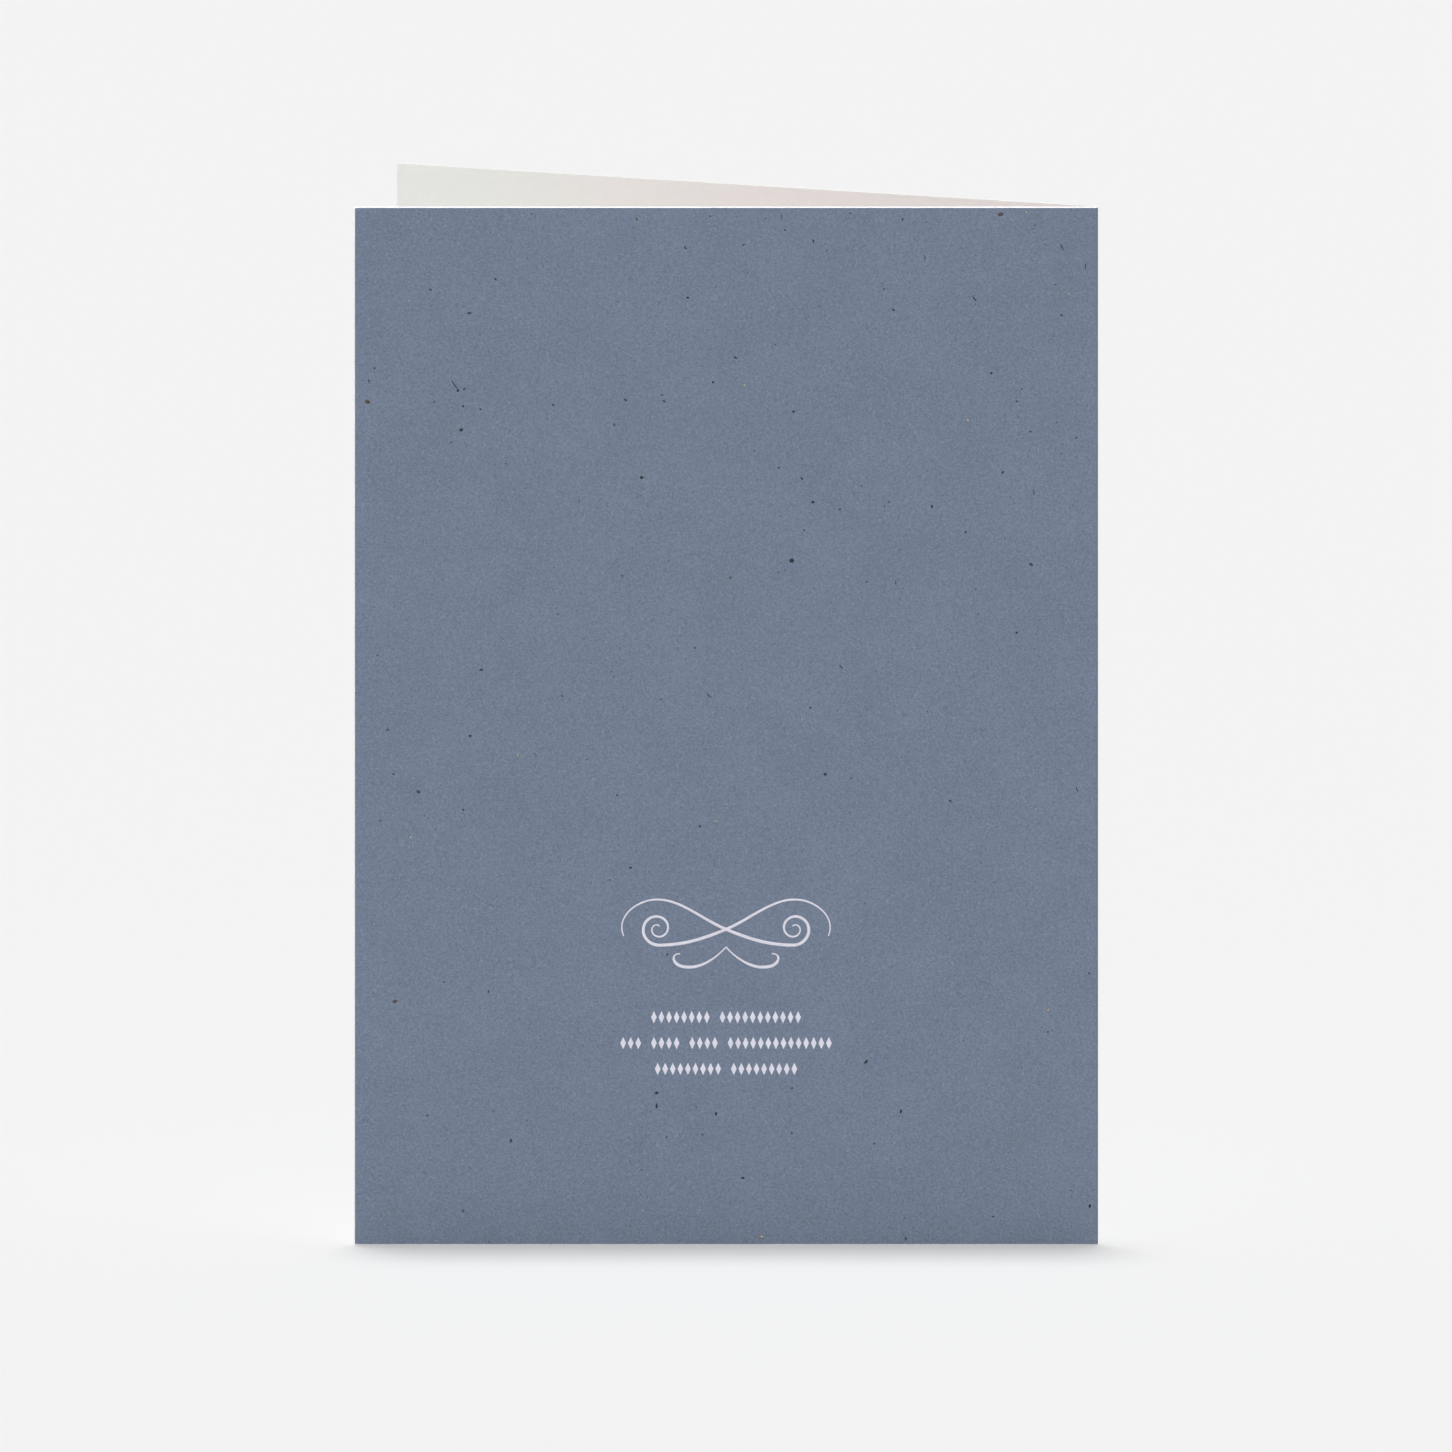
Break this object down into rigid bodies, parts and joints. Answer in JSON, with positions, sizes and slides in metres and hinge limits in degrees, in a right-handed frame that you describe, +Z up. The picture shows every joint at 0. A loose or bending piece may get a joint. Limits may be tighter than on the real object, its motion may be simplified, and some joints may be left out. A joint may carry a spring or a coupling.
{
  "type": "folded invitation card",
  "caption": "Single-fold card invitation in slate blue flecked card, creased at one side and stood upright on its lower edges with its leaves slightly open.",
  "frame": {"origin": "middle of the standing card's footprint box, on the surface it stands on", "axes": "+Z up along the fold; -Y is the outward side of the address leaf; the fold is at +X and the cover leaf swings back from it toward +Y"},
  "size_m": [0.12, 0.0412, 0.17],
  "materials": {
    "card_stock": "matte uncoated card, slate blue with fine dark flecks outside and off-white inside, white at the cut edges"
  },
  "bodies": {
    "root": {"folded_card": "card_stock"}
  },
  "joints": []
}
